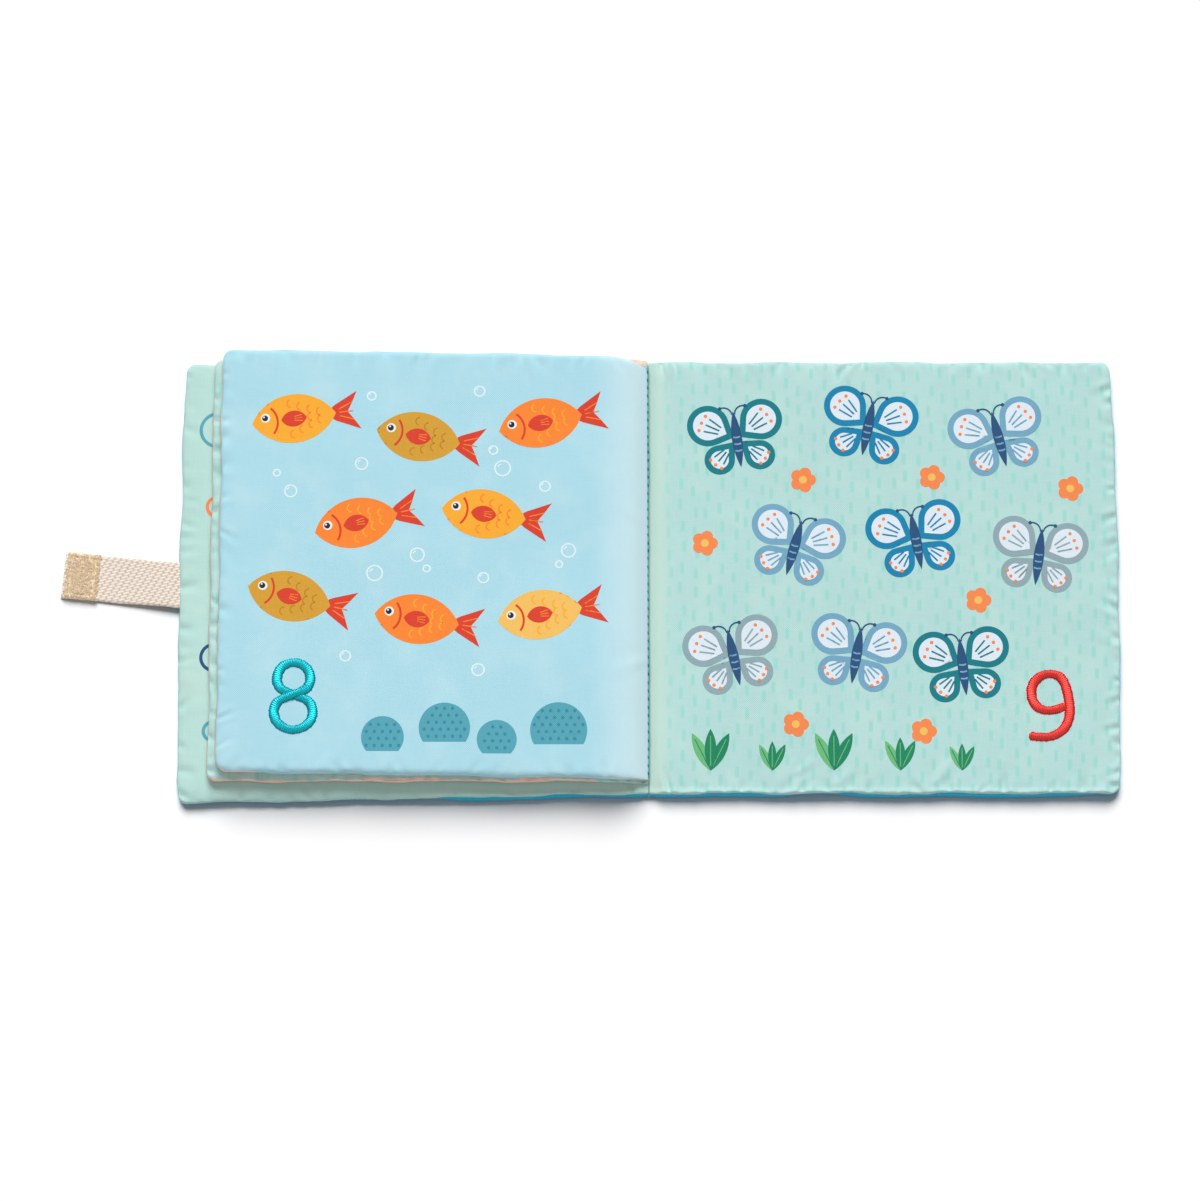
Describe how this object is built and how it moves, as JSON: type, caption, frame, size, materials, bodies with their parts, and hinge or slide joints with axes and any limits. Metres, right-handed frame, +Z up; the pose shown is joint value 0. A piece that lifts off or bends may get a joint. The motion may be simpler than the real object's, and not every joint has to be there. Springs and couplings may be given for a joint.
{
  "type": "cloth book",
  "caption": "Open padded cloth counting book with soft leaves sewn along the gutter, embroidered numerals and a webbing strap with a touch-fastener closure.",
  "frame": {"origin": "on the table under the middle of the gutter seam", "axes": "+X toward the back cover's fore edge, +Y toward the head of the pages, +Z up from the table"},
  "size_m": [0.4486, 0.1963, 0.0168],
  "materials": {
    "cover_cloth": "plain-woven cotton, dyed teal blue, matt",
    "mint_cloth": "printed plain-woven cotton, mint ground, matt",
    "wadding": "polyester wadding, soft white",
    "page_cloth": "printed plain-woven cotton, light blue ground, matt",
    "webbing": "twill-woven cotton webbing, cream, matt",
    "loop_pile": "brushed nylon loop pile, beige, fuzzy",
    "hook_tape": "moulded nylon hook tape, beige",
    "teal_thread": "satin-stitched rayon thread, teal, silky",
    "red_thread": "satin-stitched rayon thread, red, silky",
    "orange_print": "pigment print on cotton, orange, matt",
    "red_print": "pigment print on cotton, warm red, matt",
    "cream_print": "pigment print on cotton, off-white, matt",
    "teal_print": "pigment print on cotton, soft teal, matt",
    "white_print": "pigment print on cotton, cool white, matt",
    "deep_teal_print": "pigment print on cotton, deep teal, matt",
    "pale_blue_print": "pigment print on cotton, pale blue, matt",
    "navy_print": "pigment print on cotton, navy, matt",
    "green_print": "pigment print on cotton, leaf green, matt",
    "coral_print": "pigment print on cotton, coral orange, matt"
  },
  "bodies": {
    "front_half": {"front_cover_outer": "cover_cloth", "front_cover_wadding": "wadding", "front_cover_lining": "mint_cloth", "pages": "page_cloth", "closure_strap": "webbing", "strap_loop_pad": "loop_pile", "numeral_8": "teal_thread", "front_lining_print": "deep_teal_print", "fish_bodies": "orange_print", "fish_fins": "red_print", "fish_eyes": "cream_print", "stones": "teal_print", "bubbles": "white_print"},
    "back_half": {"back_cover_outer": "cover_cloth", "back_cover_wadding": "wadding", "back_cover_lining": "mint_cloth", "hook_patch": "hook_tape", "numeral_9": "red_thread", "butterfly_wings": "deep_teal_print", "butterfly_spots": "pale_blue_print", "butterfly_bodies": "navy_print", "grass": "green_print", "flowers": "coral_print"}
  },
  "joints": [
    {"name": "gutter_fold", "type": "hinge", "parent": "front_half", "child": "back_half", "pos_m": [0, 0, 0.0115], "axis": [0, -1, 0], "range_deg": [0, 180]}
  ]
}
